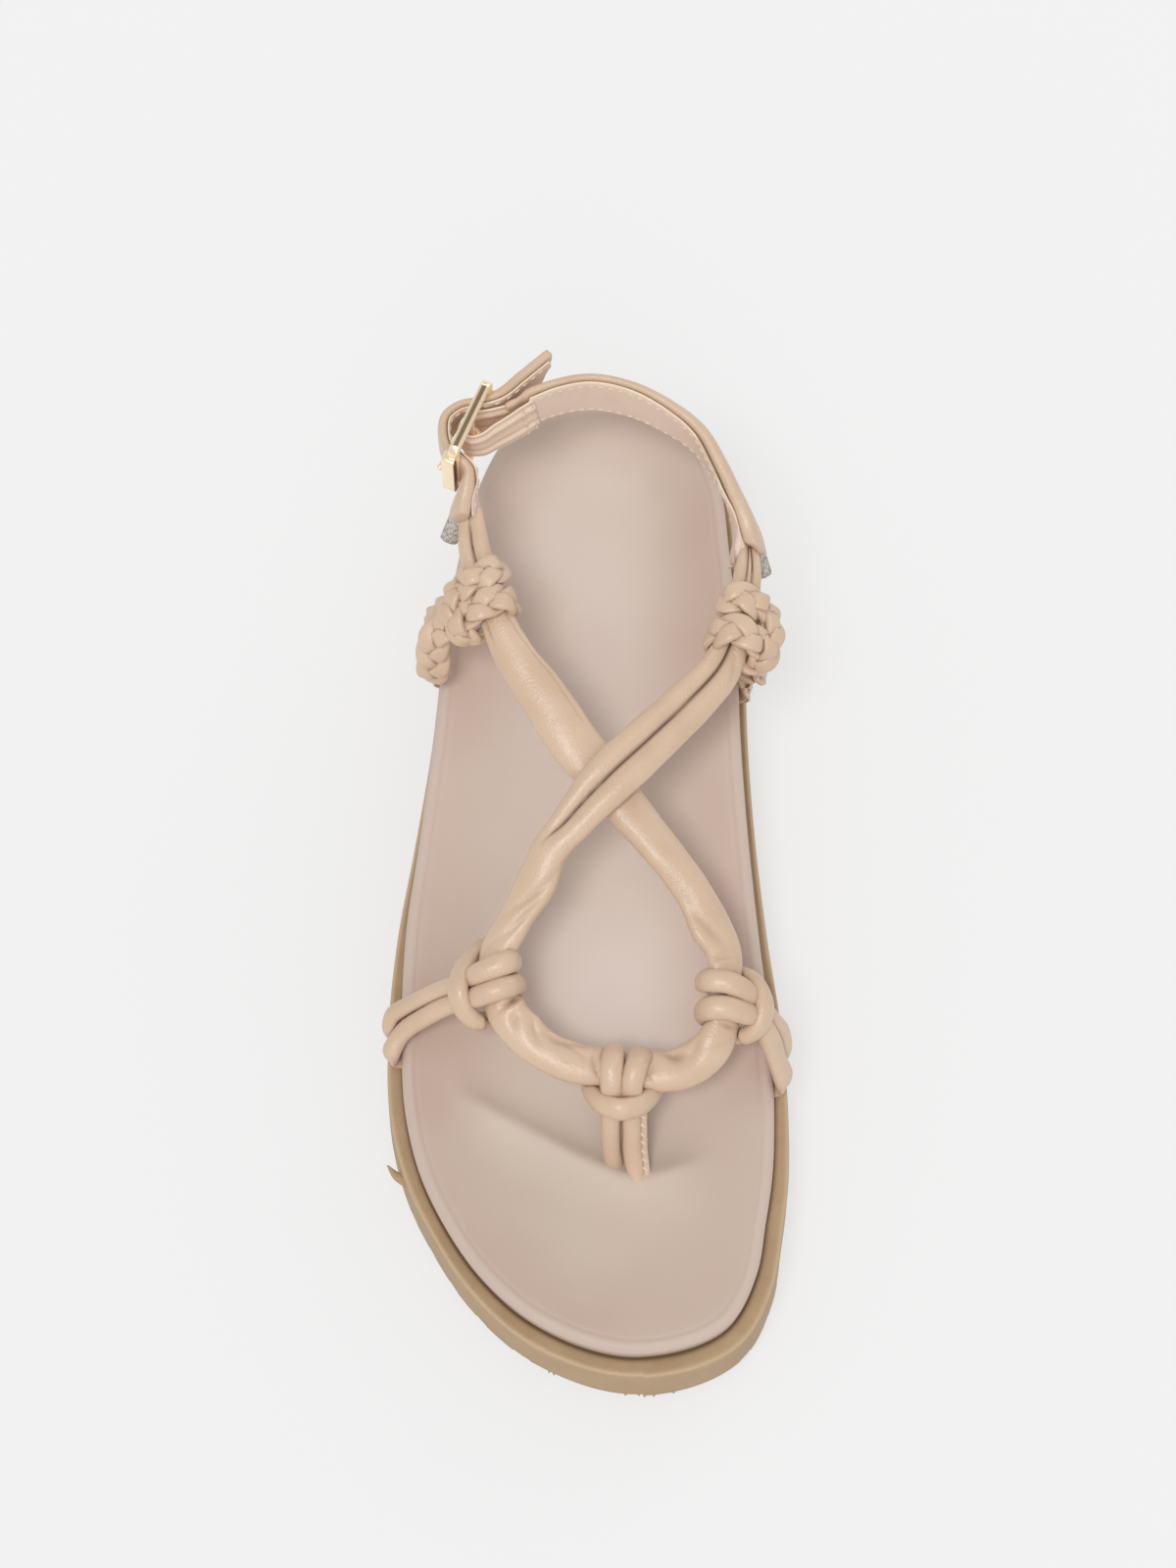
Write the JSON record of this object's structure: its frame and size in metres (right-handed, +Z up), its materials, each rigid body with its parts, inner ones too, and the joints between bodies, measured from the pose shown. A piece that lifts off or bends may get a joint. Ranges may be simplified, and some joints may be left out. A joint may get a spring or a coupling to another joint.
{
  "type": "strappy sandal",
  "caption": "Open flatform sandal: thick foam sole, cupped footbed, a padded strap crossing over the instep, knotted on cords and braids, and a buckled heel strap.",
  "frame": {"origin": "on the floor, under the middle of the sandal's bounding box", "axes": "+Z up, -Y towards the toe, +X towards the big toe side of a right foot"},
  "size_m": [0.1047, 0.2585, 0.087],
  "materials": {
    "foam": "matt moulded foam rubber",
    "footbed_leather": "matt smooth leather over a soft footbed",
    "strap_leather": "soft satin leather",
    "lining_leather": "matt lining leather",
    "gold_metal": "polished pale gold plating",
    "elastic": "woven elastic tape"
  },
  "bodies": {
    "root": {"outsole": "foam", "footbed": "footbed_leather", "main_strap": "strap_leather", "ball_cord_lateral": "strap_leather", "ball_cord_medial": "strap_leather", "toe_post_cord": "strap_leather", "braid_lateral": "strap_leather", "braid_medial": "strap_leather", "heel_strap": "strap_leather", "buckle_strap": "strap_leather", "buckle_loop": "lining_leather", "buckle_frame": "gold_metal", "buckle_prong": "gold_metal", "buckle_roller": "gold_metal", "elastic_end_lateral": "elastic", "elastic_end_medial": "elastic"}
  },
  "joints": []
}
